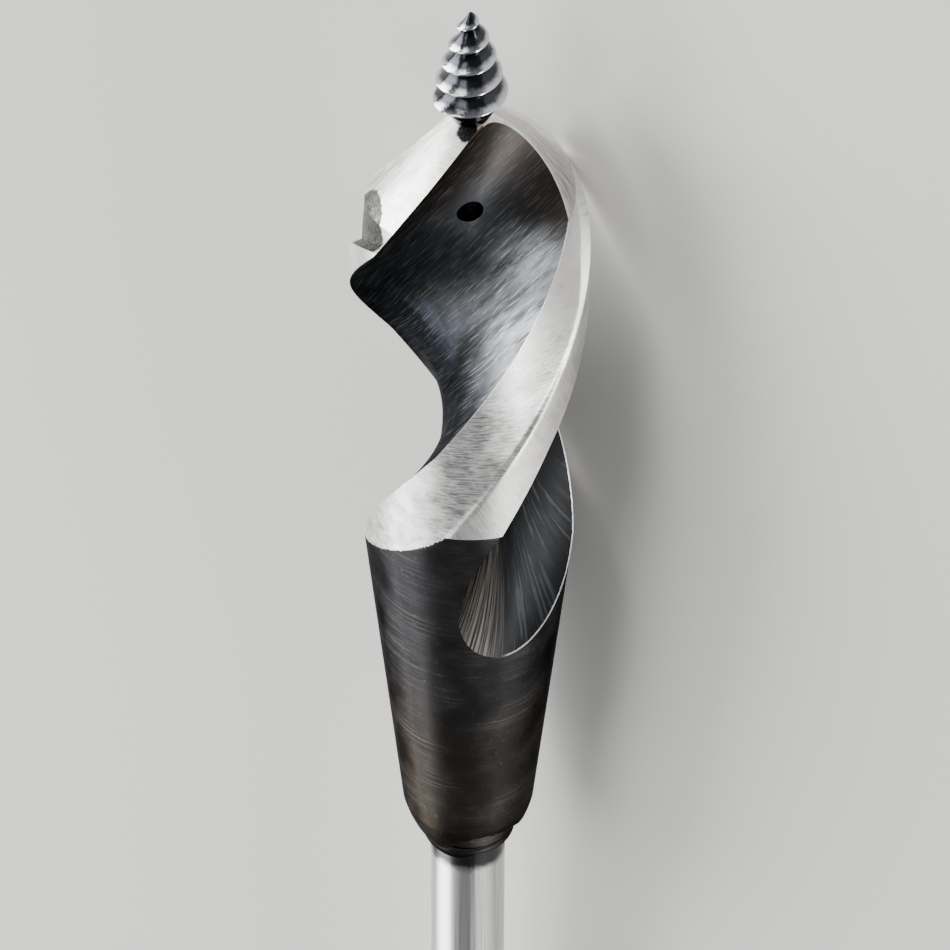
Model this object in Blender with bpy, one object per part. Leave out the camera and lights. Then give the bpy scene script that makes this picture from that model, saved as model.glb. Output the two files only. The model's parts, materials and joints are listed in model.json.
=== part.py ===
"""Flexible installer bit: a two flute boring head with a screw point on a long spring steel shank.

The bit is modelled upright in its own frame, with the tip of the screw at the origin and the shank
running down. Stations are distances along the axis from that tip. Angles are in degrees round the
axis, from the front (-Y), and grow counter-clockwise as seen from the tip, which is also the way
that the bit turns when it cuts. At the end the whole bit is laid on its side, as it comes to rest.
"""
import math

import bmesh
import bpy
from mathutils import Matrix, Vector

MM = 0.001

# Sizes of the whole bit, in millimetres.
HEAD_DIAMETER = 19.05
SHANK_DIAMETER = 6.35
OVERALL_LENGTH = 457.2

# Screw point.
SCREW_LENGTH = 9.5
SCREW_PITCH = 1.76
SCREW_BASE_RADIUS = 3.25
SCREW_SWELL = 0.61
SCREW_ROOT_SHARE = 0.56
SCREW_FADE_LENGTH = 0.9
SCREW_TAIL = 2.0
SCREW_TAIL_WAIST = 0.5
THREAD_PHASE = 1.05
THREAD_FLANK_SHARE = 0.78
THREAD_FLANK_CURL = 1.35

# Fluted part.
FLUTED_LENGTH = 37.7
CORNER_DEPTH = 10.5
CORNER_ANGLE = -50.0
NOSE_TWIST_RATE = 3.87
TWIST_RATE = 4.9
TWIST_EASING = 0.0236
WEB_THICKNESS = 3.1
FLUTE_ANGLE = 116.0
WEB_ANGLE = 62.4
FLUTE_OVERCUT = 1.1
RAKE_FLARE = 0.3
RAKE_HANDLE = 2.9
RAKE_UNDERCUT = 2.37
WEB_RAKE_HANDLE = 2.88
WEB_HEEL_HANDLE = 2.21
HEEL_HANDLE = 3.81
HEEL_CURL = 0.87
FLUTE_WHEEL_RADIUS = 22.3
FLUTE_LIFT_SLOPE = 0.14
FLUTE_LIFT_START = 39.4
FLUTE_RUNOUT_START = 51.5

# Point grinding: the two lips and the clearance behind them.
LIP_INNER_RADIUS = 2.0
LIP_INNER_DEPTH = 1.17
LIP_INNER_ANGLE = -19.0
LIP_SLOPE = 0.665
LIP_CURL = 0.0477
LIP_SWEEP = 3.5
LIP_CLEARANCE = 0.00058
POINT_SPLIT_ANGLE = 40.0

# Lands: a narrow full size margin, and lower body clearance behind it.
MARGIN_ANGLE = 23.3
MARGIN_TOP = 9.7
MARGIN_TOP_LENGTH = 1.8
MARGIN_STEP = 0.25
NOSE_RELIEF = 0.67
NOSE_RELIEF_DEPTH = 14.0
NOSE_RELIEF_FADE = 5.0
HEEL_RELIEF_AT_NOSE = 1.35
HEEL_RELIEF_AT_END = 0.78
RELIEF_CURL = 0.6
RELIEF_OVERRUN_ANGLE = 14.0
RELIEF_RUNOUT = 8.0

# Cross hole for a pull wire, through the web.
WIRE_HOLE_DIAMETER = 2.1
WIRE_HOLE_STATION = 19.0

# Body behind the flutes.
TAPER_TOP_STEP = 0.18
TAPER_LENGTH = 38.6
TAPER_END_DIAMETER = 11.1
SHOULDER_LENGTH = 4.2
SHOULDER_END_DIAMETER = 7.9
SHOULDER_CURL = 0.55

# Shank, and the blind socket in the head that it is brazed into.
SOCKET_DEPTH = 14.0
SOCKET_CLEARANCE = 0.3
SHANK_CHAMFER = 0.6
END_HOLE_DIAMETER = 1.6
END_HOLE_SETBACK = 12.0

# Fineness of the facets.
BODY_SIDES = 72
SHANK_SIDES = 36
SHOULDER_STEPS = 6
SCREW_SIDES = 24
THREAD_STEPS = 7
FLUTE_STATION_STEP = 1.25
FLUTE_POINTS = 8
RELIEF_POINTS = 10
POINT_ANGLE_STEP = 5.0
POINT_RADIUS_STEP = 1.0
HOLE_SIDES = 20

HEAD_RADIUS = HEAD_DIAMETER / 2
SHANK_RADIUS = SHANK_DIAMETER / 2
FLUTE_END = SCREW_LENGTH + FLUTED_LENGTH
TAPER_END = FLUTE_END + TAPER_LENGTH
HEAD_END = TAPER_END + SHOULDER_LENGTH
SHANK_TOP = HEAD_END - SOCKET_DEPTH + SOCKET_CLEARANCE
BLANK_TOP = SCREW_LENGTH - 1.0
FAR_RADIUS = HEAD_RADIUS * 1.9


def clear_scene():
    for item in list(bpy.data.objects):
        bpy.data.objects.remove(item, do_unlink=True)


def place(radius, angle, station):
    """A point of the upright bit, in metres."""
    turn = math.radians(angle)
    return Vector((radius * math.sin(turn), -radius * math.cos(turn), -station)) * MM


def smooth_step(value):
    value = min(1.0, max(0.0, value))
    return value * value * (3.0 - 2.0 * value)


def leading_angle(station):
    """Angle of the first land's leading edge: a helix that eases off from the corner of the lip."""
    below = station - SCREW_LENGTH - CORNER_DEPTH
    if below < 0.0:
        return CORNER_ANGLE - NOSE_TWIST_RATE * below
    return CORNER_ANGLE - TWIST_RATE * below + TWIST_EASING * below ** 2


def bezier(start, handle_a, handle_b, end, steps):
    """Points along a cubic curve, without its last one."""
    points = []
    for index in range(steps):
        t = index / steps
        u = 1.0 - t
        weights = (u ** 3, 3 * u * u * t, 3 * u * t * t, t ** 3)
        nodes = (start, handle_a, handle_b, end)
        points.append(Vector((sum(w * n[0] for w, n in zip(weights, nodes)),
                              sum(w * n[1] for w, n in zip(weights, nodes)))))
    return points


def flute_section(points_per_wall):
    """Closed outline of one flute, square to the axis, with the leading edge on its first axis."""
    outside = HEAD_RADIUS + FLUTE_OVERCUT
    web = math.radians(WEB_ANGLE)
    heel = math.radians(FLUTE_ANGLE)
    start = Vector((outside, RAKE_FLARE))
    bottom = Vector((math.cos(web), math.sin(web))) * WEB_THICKNESS / 2
    along = Vector((math.sin(web), -math.cos(web)))
    end = Vector((math.cos(heel), math.sin(heel))) * outside
    rake = bezier(start, start - Vector((RAKE_HANDLE, RAKE_UNDERCUT)),
                  bottom + along * WEB_RAKE_HANDLE, bottom, points_per_wall)
    back = bezier(bottom, bottom - along * WEB_HEEL_HANDLE,
                  end + Vector((HEEL_CURL, -HEEL_HANDLE)), end, points_per_wall)
    closing = [Vector((math.cos(a), math.sin(a))) * FAR_RADIUS
               for a in (heel - 0.25, web, 0.25)]
    return rake + back + [end] + closing


def flute_lift(station):
    """How far the flute wheel has risen: gently at first, as the web thickens, then round its rim."""
    gentle = FLUTE_LIFT_SLOPE * max(0.0, station - FLUTE_LIFT_START)
    travel = min(max(0.0, station - FLUTE_RUNOUT_START), FLUTE_WHEEL_RADIUS)
    return gentle + FLUTE_WHEEL_RADIUS - math.sqrt(FLUTE_WHEEL_RADIUS ** 2 - travel ** 2)


def flute_runout_end():
    depth = HEAD_RADIUS - WEB_THICKNESS / 2
    station = FLUTE_RUNOUT_START
    while flute_lift(station) < depth:
        station += FLUTE_STATION_STEP
    return station


def spaced(first, last, step):
    count = max(1, math.ceil((last - first) / step))
    return [first + (last - first) * index / count for index in range(count + 1)]


def new_object(name, mesh_data, material=None):
    mesh = bpy.data.meshes.new(name)
    mesh_data.to_mesh(mesh)
    mesh_data.free()
    item = bpy.data.objects.new(name, mesh)
    bpy.context.scene.collection.objects.link(item)
    if material:
        mesh.materials.append(material)
    return item


def as_cutter(item):
    item.hide_render = True
    item.display_type = 'WIRE'
    return item


def loft(name, rings, material=None):
    """Closed body through a row of rings with equal numbers of points."""
    data = bmesh.new()
    rows = [[data.verts.new(point) for point in ring] for ring in rings]
    for upper, lower in zip(rows, rows[1:]):
        for index in range(len(upper)):
            other = (index + 1) % len(upper)
            data.faces.new((upper[index], upper[other], lower[other], lower[index]))
    data.faces.new(list(reversed(rows[0])))
    data.faces.new(rows[-1])
    bmesh.ops.triangulate(data, faces=data.faces)
    bmesh.ops.recalc_face_normals(data, faces=data.faces)
    return new_object(name, data, material)


def turned(name, profile, sides, material=None):
    """Body of revolution from (station, radius) pairs, with flat ends."""
    rings = [[place(radius, 360.0 * (side + 0.5) / sides, station) for side in range(sides)]
             for station, radius in profile]
    return loft(name, rings, material)


def flute_cutter(name, offset):
    section = flute_section(FLUTE_POINTS)
    lift_direction = math.radians(FLUTE_ANGLE / 2)
    rings = []
    for station in spaced(BLANK_TOP - 0.5, flute_runout_end(), FLUTE_STATION_STEP):
        lift = flute_lift(station)
        shift = Vector((math.cos(lift_direction), math.sin(lift_direction))) * lift
        start = leading_angle(station) + offset
        ring = []
        for point in section:
            moved = point + shift
            ring.append(place(moved.length, start + math.degrees(math.atan2(moved.y, moved.x)), station))
        rings.append(ring)
    return as_cutter(loft(name, rings))


def margin_width(station):
    """Angle of full size margin behind the leading edge; it starts a little below the lip."""
    below = station - SCREW_LENGTH - MARGIN_TOP
    if below <= 0.0:
        return -3.0
    return max(-3.0, MARGIN_ANGLE * (1.0 - math.exp(-below / MARGIN_TOP_LENGTH)))


def relief_radius(behind, station):
    """Radius of the body clearance at an angle behind the leading edge: it falls off to the heel."""
    below_corner = (station - SCREW_LENGTH - CORNER_DEPTH) / (FLUTED_LENGTH - CORNER_DEPTH)
    nose = 1.0 - smooth_step((station - SCREW_LENGTH - NOSE_RELIEF_DEPTH) / NOSE_RELIEF_FADE)
    edge_relief = MARGIN_STEP + NOSE_RELIEF * nose
    heel_change = HEEL_RELIEF_AT_END - HEEL_RELIEF_AT_NOSE
    heel_relief = HEEL_RELIEF_AT_NOSE + heel_change * min(1.0, max(0.0, below_corner))
    edge = max(0.0, margin_width(station))
    back = max(0.0, behind - edge) / (180.0 - FLUTE_ANGLE - edge)
    return HEAD_RADIUS - edge_relief - (heel_relief - edge_relief) * back ** RELIEF_CURL


def relief_cutter(name, offset):
    """Everything outside the body clearance, from the margin to just past the heel."""
    heel = 180.0 - FLUTE_ANGLE + RELIEF_OVERRUN_ANGLE
    rings = []
    for station in spaced(BLANK_TOP - 0.5, FLUTE_END + RELIEF_RUNOUT, FLUTE_STATION_STEP):
        edge = margin_width(station)
        lead = leading_angle(station) + offset
        ring = []
        for step in range(RELIEF_POINTS + 1):
            behind = edge + (heel - edge) * step / RELIEF_POINTS
            ring.append(place(relief_radius(behind, station), lead - behind, station))
        for behind in (heel, (heel + edge) / 2, edge):
            ring.append(place(FAR_RADIUS, lead - behind, station))
        rings.append(ring)
    return as_cutter(loft(name, rings))


def point_station(radius, angle):
    """Station of the ground point at a radius and angle: two lips, and the clearance behind each."""
    out = radius - LIP_INNER_RADIUS
    lip_angle = LIP_INNER_ANGLE - LIP_SWEEP * out
    lip_station = SCREW_LENGTH + LIP_INNER_DEPTH + LIP_SLOPE * out + LIP_CURL * out ** 2
    ahead_of_split = (POINT_SPLIT_ANGLE - angle) % 180.0
    behind_lip = ahead_of_split - (POINT_SPLIT_ANGLE - lip_angle)
    return lip_station + LIP_CLEARANCE * radius ** 2 * behind_lip


def point_cutter(name):
    """Everything tipward of the two ground faces of the point."""
    step = POINT_ANGLE_STEP
    radii = [LIP_INNER_RADIUS * 0.5] + spaced(LIP_INNER_RADIUS, HEAD_RADIUS * 1.25, POINT_RADIUS_STEP)
    angles = []
    for half in range(2):
        start = POINT_SPLIT_ANGLE - 180.0 * half
        angles += [start - 0.001] + [start - a for a in spaced(step, 180.0 - step, step)]
        angles += [start - 179.999]
    data = bmesh.new()
    ceiling = -2.0
    floor_rows = [[data.verts.new(place(r, a, point_station(r, a))) for a in angles] for r in radii]
    top_row = [data.verts.new(place(radii[-1], a, ceiling)) for a in angles]
    count = len(angles)
    for inner_row, outer_row in zip(floor_rows, floor_rows[1:]):
        for index in range(count):
            other = (index + 1) % count
            data.faces.new((inner_row[index], inner_row[other], outer_row[other], outer_row[index]))
    for index in range(count):
        other = (index + 1) % count
        data.faces.new((floor_rows[-1][index], floor_rows[-1][other], top_row[other], top_row[index]))
    data.faces.new(floor_rows[0])
    data.faces.new(list(reversed(top_row)))
    bmesh.ops.triangulate(data, faces=data.faces)
    bmesh.ops.recalc_face_normals(data, faces=data.faces)
    return as_cutter(new_object(name, data))


def crest_radius(station):
    """Envelope of the screw's crests: an ogive that swells from the tip."""
    return SCREW_BASE_RADIUS * (max(station, 0.0) / (SCREW_LENGTH - SCREW_FADE_LENGTH)) ** SCREW_SWELL


def thread_profile(phase):
    """Height of the buttress thread: a long flank towards the tip, then a short undercut."""
    if phase < THREAD_FLANK_SHARE:
        return (phase / THREAD_FLANK_SHARE) ** THREAD_FLANK_CURL
    return (1.0 - phase) / (1.0 - THREAD_FLANK_SHARE)


def screw_radius(station, phase):
    waist = 1.0 - SCREW_TAIL_WAIST * max(0.0, station - SCREW_LENGTH) / SCREW_TAIL
    root = crest_radius(min(station, SCREW_LENGTH)) * SCREW_ROOT_SHARE * waist
    fade = 1.0 - smooth_step((station - SCREW_LENGTH + SCREW_FADE_LENGTH * 1.4) / SCREW_FADE_LENGTH)
    height = crest_radius(station) - root
    return root + height * fade * thread_profile(phase)


def screw_point(name):
    """The lead screw, as one skin whose rows follow the thread."""
    end = SCREW_LENGTH + SCREW_TAIL
    rows = math.ceil((end / SCREW_PITCH + 2) * THREAD_STEPS)
    data = bmesh.new()
    grid = []
    for column in range(SCREW_SIDES + 1):
        angle = 360.0 * column / SCREW_SIDES
        line = []
        for row in range(rows + 1):
            turns = row / THREAD_STEPS - column / SCREW_SIDES
            station = (turns - THREAD_FLANK_SHARE) * SCREW_PITCH + THREAD_PHASE
            station = min(end, max(0.0, station))
            phase = (row % THREAD_STEPS) / THREAD_STEPS
            radius = screw_radius(station, phase) if station > 0.0 else 0.0
            line.append(data.verts.new(place(radius, angle, station)))
        grid.append(line)
    for left, right in zip(grid, grid[1:]):
        for row in range(rows):
            data.faces.new((left[row], right[row], right[row + 1], left[row + 1]))
    bmesh.ops.remove_doubles(data, verts=data.verts, dist=1e-7)
    bmesh.ops.dissolve_degenerate(data, edges=data.edges, dist=1e-7)
    rim = [edge for edge in data.edges if edge.is_boundary]
    bmesh.ops.holes_fill(data, edges=rim, sides=0)
    bmesh.ops.triangulate(data, faces=data.faces)
    bmesh.ops.recalc_face_normals(data, faces=data.faces)
    return as_cutter(new_object(name, data))


def cross_drill(name, radius, station):
    """A round drill that goes through the bit from front to back."""
    reach = HEAD_RADIUS * 1.5
    rings = []
    for side in (-reach, reach):
        rings.append([Vector((radius * math.cos(2 * math.pi * k / HOLE_SIDES), side,
                              -station + radius * math.sin(2 * math.pi * k / HOLE_SIDES))) * MM
                      for k in range(HOLE_SIDES)])
    return as_cutter(loft(name, rings))


def boolean(item, tool, operation):
    change = item.modifiers.new(f"{operation.lower()} {tool.name}", 'BOOLEAN')
    change.operation = operation
    change.solver = 'EXACT'
    change.object = tool


def steel(name, colour, metallic, roughness):
    material = bpy.data.materials.new(name)
    material.use_nodes = True
    shader = material.node_tree.nodes["Principled BSDF"]
    shader.inputs["Base Color"].default_value = (*colour, 1.0)
    shader.inputs["Metallic"].default_value = metallic
    shader.inputs["Roughness"].default_value = roughness
    material.diffuse_color = (*colour, 1.0)
    return material


def cutting_head(material):
    """Screw point, lips, flutes, lands, taper and neck, all from one blank."""
    taper_top = HEAD_RADIUS - TAPER_TOP_STEP
    taper_end = TAPER_END_DIAMETER / 2
    shoulder_drop = taper_end - SHOULDER_END_DIAMETER / 2
    profile = [(BLANK_TOP, HEAD_RADIUS), (FLUTE_END, HEAD_RADIUS), (FLUTE_END + TAPER_TOP_STEP, taper_top)]
    for step in range(SHOULDER_STEPS + 1):
        share = step / SHOULDER_STEPS
        drop = shoulder_drop * (share * SHOULDER_CURL + share ** 2 * (1.0 - SHOULDER_CURL))
        profile.append((TAPER_END + SHOULDER_LENGTH * share, taper_end - drop))
    head = turned("cutting_head", profile, BODY_SIDES, material)
    tools = []
    for number, offset in enumerate((0.0, 180.0), start=1):
        tools.append(relief_cutter(f"body_clearance_{number}", offset))
        tools.append(flute_cutter(f"flute_{number}", offset))
    tools.append(point_cutter("point_grinding"))
    tools.append(cross_drill("wire_hole_drill", WIRE_HOLE_DIAMETER / 2, WIRE_HOLE_STATION))
    socket = [(HEAD_END - SOCKET_DEPTH, SHANK_RADIUS + SOCKET_CLEARANCE),
              (HEAD_END + SOCKET_CLEARANCE, SHANK_RADIUS + SOCKET_CLEARANCE)]
    tools.append(as_cutter(turned("shank_socket", socket, SHANK_SIDES)))
    for tool in tools:
        boolean(head, tool, 'DIFFERENCE')
    screw = screw_point("screw_point_blank")
    boolean(head, screw, 'UNION')
    return head, tools + [screw]


def flexible_shank(material):
    """Long round rod, let into the head, with a chamfered end and a hole for a pull wire."""
    profile = [(SHANK_TOP, SHANK_RADIUS), (OVERALL_LENGTH - SHANK_CHAMFER, SHANK_RADIUS),
               (OVERALL_LENGTH, SHANK_RADIUS - SHANK_CHAMFER)]
    shank = turned("flexible_shank", profile, SHANK_SIDES, material)
    drill = cross_drill("end_hole_drill", END_HOLE_DIAMETER / 2, OVERALL_LENGTH - END_HOLE_SETBACK)
    boolean(shank, drill, 'DIFFERENCE')
    return shank, [drill]


def shade(item):
    item.data.shade_smooth()
    item.data.set_sharp_from_angle(angle=math.radians(28.0))


def evaluated_points(item):
    graph = bpy.context.evaluated_depsgraph_get()
    mesh = item.evaluated_get(graph).to_mesh()
    return [vertex.co.copy() for vertex in mesh.vertices]


def rest_slope(points, down):
    """Tilt of the axis when the shank's end and the head's lowest point in a direction touch a floor."""
    reach = OVERALL_LENGTH * MM
    return max((p.dot(down) - SHANK_RADIUS * MM) / (reach + p.z) for p in points)


def rest_turn(points):
    """Angle of the direction that faces the floor: a gap between the lands, where the bit settles."""
    low = min(range(90, 270, 3), key=lambda a: rest_slope(points, place(1.0, a, 0.0).normalized()))
    span = 2.0
    while span > 0.001:
        low = min((low - span, low, low + span),
                  key=lambda a: rest_slope(points, place(1.0, a, 0.0).normalized()))
        span *= 0.6
    return low


def lay_down(root, parts):
    """Turn the whole bit onto its resting side, with its box's bottom centre at the origin."""
    points = evaluated_points(parts[0])
    turn = rest_turn(points)
    down = place(1.0, turn, 0.0).normalized()
    slope = math.atan(rest_slope(points, down))
    spin = Matrix.Rotation(-math.radians(turn), 4, 'Z')
    tip_over = Matrix.Rotation(math.radians(90.0) - slope, 4, 'X')
    heading = Matrix.Rotation(math.radians(90.0), 4, 'Z')
    rest = heading @ tip_over @ spin
    corners = [rest @ p for part in parts for p in evaluated_points(part)]
    low = Vector([min(c[k] for c in corners) for k in range(3)])
    high = Vector([max(c[k] for c in corners) for k in range(3)])
    centre = Vector(((low.x + high.x) / 2, (low.y + high.y) / 2, low.z))
    root.matrix_world = Matrix.Translation(-centre) @ rest


def build():
    clear_scene()
    oxide = steel("black oxide steel", (0.028, 0.028, 0.030), 0.6, 0.42)
    bright = steel("bright spring steel", (0.62, 0.62, 0.63), 1.0, 0.28)
    head, head_tools = cutting_head(oxide)
    shank, shank_tools = flexible_shank(bright)
    for part in (head, shank):
        shade(part)
    root = bpy.data.objects.new("installer_bit", None)
    bpy.context.scene.collection.objects.link(root)
    for item in [head, shank] + head_tools + shank_tools:
        item.parent = root
    bpy.context.view_layer.update()
    lay_down(root, [head, shank])
    bpy.context.view_layer.update()


build()
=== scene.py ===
import json
import math

import bmesh
import bpy
import numpy as np
from mathutils import Matrix, Vector


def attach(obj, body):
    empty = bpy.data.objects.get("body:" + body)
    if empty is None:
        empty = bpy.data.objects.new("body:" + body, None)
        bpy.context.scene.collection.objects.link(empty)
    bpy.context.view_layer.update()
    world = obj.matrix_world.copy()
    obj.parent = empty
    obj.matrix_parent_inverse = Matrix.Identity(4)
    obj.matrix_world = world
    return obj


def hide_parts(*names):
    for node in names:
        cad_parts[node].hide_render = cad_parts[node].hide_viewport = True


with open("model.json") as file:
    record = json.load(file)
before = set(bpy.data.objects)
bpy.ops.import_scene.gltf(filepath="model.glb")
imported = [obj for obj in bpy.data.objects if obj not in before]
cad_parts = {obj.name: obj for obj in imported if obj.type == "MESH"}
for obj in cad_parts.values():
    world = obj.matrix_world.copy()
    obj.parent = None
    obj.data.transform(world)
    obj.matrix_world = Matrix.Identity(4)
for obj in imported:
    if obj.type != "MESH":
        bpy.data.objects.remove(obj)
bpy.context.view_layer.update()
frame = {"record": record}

print("installer bit: frame loaded")

# The bit's own sizes, in millimetres and degrees, as in the CAD model. Stations are distances along
# the axis from the screw's tip. Angles go round the axis from the side that the camera sees.
bit = {"length": 457.2, "shankRadius": 3.175, "turnFacingFloor": 138.32384152}
head = {
    "radius": 9.525, "screwLength": 9.5, "flutedLength": 37.7, "blankTop": 8.0,
    # the leading edge's corner, and its twist in degrees per millimetre
    "cornerDepth": 10.5, "cornerAngle": -50.0, "noseTwist": 3.87, "twist": 4.9, "twistEasing": 0.0236,
    # the flute's section, square to the axis
    "web": 3.1, "fluteAngle": 116.0, "webAngle": 62.4, "overcut": 1.1, "rakeFlare": 0.3,
    "rakeHandle": 2.9, "rakeUndercut": 2.37, "webRake": 2.88, "webHeel": 2.21,
    "heelHandle": 3.81, "heelCurl": 0.87,
    # how the wheel lifts out of the flute
    "wheelRadius": 22.3, "liftSlope": 0.14, "liftStart": 39.4,
    "runoutStart": 51.5, "runoutFine": 61.4, "runoutEnd": 63.4, "twistStop": 64.0,
    # the two ground faces of the point
    "lipRadius": 2.0, "lipDepth": 1.17, "lipAngle": -19.0, "lipSlope": 0.665, "lipCurl": 0.0477,
    "lipSweep": 3.5, "clearance": 0.00058, "splitAngle": 40.0,
    # the margin behind the leading edge, and the land ground back behind it
    "marginAngle": 23.3, "marginTop": 9.7, "marginTopLength": 1.8, "marginStep": 0.09,
    "noseRelief": 0.67, "noseDepth": 14.0, "noseFade": 5.0,
    "heelNose": 1.35, "heelEnd": 0.84, "reliefCurl": 0.6, "reliefOverrun": 14.0, "reliefEnd": 8.0,
    "reliefFade": 0.004,
    # the black taper, its rounded shoulder, the wire hole and the rod's socket
    "taperStep": 0.18, "taperLength": 38.6, "taperEnd": 5.55,
    "shoulder": 4.2, "shoulderEnd": 3.95, "shoulderCurl": 0.55,
    "wireHole": 1.05, "wireHoleStation": 19.0, "socketDepth": 14.0, "socketClearance": 0.3,
    # the soft step beside the margin, in degrees, and the ragged one at the shoulder's end
    "stepBlend": 2.5, "stepRadius": 3.98, "stepHeight": 0.3, "stepRagged": 0.25, "stepSeed": 7,
    "stepEdge": ((-36.0, 89.6), (-16.0, 88.4), (-6.5, 87.6), (2.0, 86.9), (21.0, 86.4),
                 (33.0, 86.6), (56.0, 87.1), (110.0, 88.6), (180.0, 87.8), (250.0, 88.9)),
    # how fine the mesh is
    "rowStep": 0.3, "shoulderRows": 36, "marginColumns": 9, "reliefColumns": 40, "fluteColumns": 56,
}
fluteEnd = head["screwLength"] + head["flutedLength"]
taperEnd = fluteEnd + head["taperLength"]
headEnd = taperEnd + head["shoulder"]

# The turn that lays the upright bit on its resting side, and shrinks millimetres to metres.
shankEnd = next(m for m in frame["record"]["mounts"] if m["name"] == "shank_end")
axisOut = Vector(shankEnd["axis"]).normalized()
tipPoint = Vector(shankEnd["pos_m"]) - axisOut * bit["length"] * 0.001
restPose = (Matrix.Translation(tipPoint) @ Matrix.Rotation(math.radians(90), 4, 'Z')
            @ Matrix.Rotation(math.radians(90) - math.asin(-axisOut.z), 4, 'X')
            @ Matrix.Rotation(-math.radians(bit["turnFacingFloor"]), 4, 'Z') @ Matrix.Scale(0.001, 4))


def smoothStep(value):
    value = np.clip(value, 0.0, 1.0)
    return value * value * (3.0 - 2.0 * value)


def place(radius, angle, station):
    turn = np.radians(angle)
    return np.stack(np.broadcast_arrays(radius * np.sin(turn), -radius * np.cos(turn),
                                        -np.asarray(station, float)), -1)


def leadAngle(station):
    below = station - head["screwLength"] - head["cornerDepth"]
    body = head["cornerAngle"] - head["twist"] * below + head["twistEasing"] * below ** 2
    return np.where(below < 0.0, head["cornerAngle"] - head["noseTwist"] * below, body)


def marginWidth(station):
    below = station - head["screwLength"] - head["marginTop"]
    grown = head["marginAngle"] * (1.0 - np.exp(-np.maximum(below, 0.0) / head["marginTopLength"]))
    return np.where(below <= 0.0, -3.0, grown)


def reliefRadius(behind, station):
    nose = 1.0 - smoothStep((station - head["screwLength"] - head["noseDepth"]) / head["noseFade"])
    below = station - head["screwLength"] - head["cornerDepth"]
    share = np.clip(below / (head["flutedLength"] - head["cornerDepth"]), 0.0, 1.0)
    edgeRelief = head["marginStep"] + head["noseRelief"] * nose
    heelRelief = head["heelNose"] + (head["heelEnd"] - head["heelNose"]) * share
    edge = np.maximum(0.0, marginWidth(station))
    back = np.maximum(0.0, behind - edge) / (180.0 - head["fluteAngle"] - edge)
    return head["radius"] - edgeRelief - (heelRelief - edgeRelief) * back ** head["reliefCurl"]


def bodyRadius(station):
    return np.interp(station, [fluteEnd, fluteEnd + head["taperStep"], taperEnd],
                     [head["radius"], head["radius"] - head["taperStep"], head["taperEnd"]])


def landRadius(behind, station):
    body = bodyRadius(station)
    heel = 180.0 - head["fluteAngle"] + head["reliefOverrun"]
    ground = ((behind >= marginWidth(station)) & (behind <= heel)
              & (station <= fluteEnd + head["reliefEnd"]))
    return np.where(ground, np.minimum(body, reliefRadius(behind, station)), body)


def bezier(nodes, count):
    t = np.linspace(0.0, 1.0, count)[:, None]
    a, b, c, d = (np.array(node) for node in nodes)
    return (1 - t) ** 3 * a + 3 * (1 - t) ** 2 * t * b + 3 * (1 - t) * t ** 2 * c + t ** 3 * d


def fluteWalls():
    outside = head["radius"] + head["overcut"]
    web, heel = math.radians(head["webAngle"]), math.radians(head["fluteAngle"])
    start = np.array((outside, head["rakeFlare"]))
    bottom = np.array((math.cos(web), math.sin(web))) * head["web"] / 2
    along = np.array((math.sin(web), -math.cos(web)))
    end = np.array((math.cos(heel), math.sin(heel))) * outside
    rake = bezier((start, start - (head["rakeHandle"], head["rakeUndercut"]),
                   bottom + along * head["webRake"], bottom), 240)
    back = bezier((bottom, bottom - along * head["webHeel"],
                   end + (head["heelCurl"], -head["heelHandle"]), end), 240)
    return np.concatenate((rake, back[1:]))


def fluteLift(station):
    wheel = head["wheelRadius"]
    travel = min(max(0.0, station - head["runoutStart"]), wheel)
    slope = head["liftSlope"] * max(0.0, station - head["liftStart"])
    return slope + wheel - math.sqrt(wheel ** 2 - travel ** 2)


# Radius and angle of the cut flute at one station, from the heel side to the leading edge.
def fluteSlice(walls, station):
    lifted = walls + np.array((math.cos(math.radians(head["fluteAngle"] / 2)),
                               math.sin(math.radians(head["fluteAngle"] / 2)))) * fluteLift(station)
    radius, angle = np.hypot(*lifted.T), np.degrees(np.arctan2(lifted[:, 1], lifted[:, 0]))
    leadSide = np.arange(len(angle)) < len(angle) // 2
    room = np.where(leadSide, landRadius(-angle, station), landRadius(180.0 - angle, station)) - radius
    inside = np.nonzero(room > 0.0)[0]
    if len(inside) < 2:
        deepest = int(np.argmax(room))
        return np.full(2, landRadius(180.0 - angle[deepest], station)), np.full(2, angle[deepest])
    first, last = inside[0], inside[-1]
    ends = []
    for outer, inner in ((first - 1, first), (last + 1, last)):
        share = room[outer] / (room[outer] - room[inner])
        ends.append(lifted[outer] + (lifted[inner] - lifted[outer]) * share)
    line = np.vstack((ends[0], lifted[first:last + 1], ends[1]))[::-1]
    reach = np.concatenate(([0.0], np.cumsum(np.hypot(*np.diff(line, axis=0).T))))
    marks = np.linspace(0.0, reach[-1], head["fluteColumns"] + 1)
    line = np.stack([np.interp(marks, reach, line[:, k]) for k in (0, 1)], -1)
    return np.hypot(*line.T), np.degrees(np.arctan2(line[:, 1], line[:, 0]))


zones = ("flute", "relief", "margin", "taper", "point", "bore")


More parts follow.
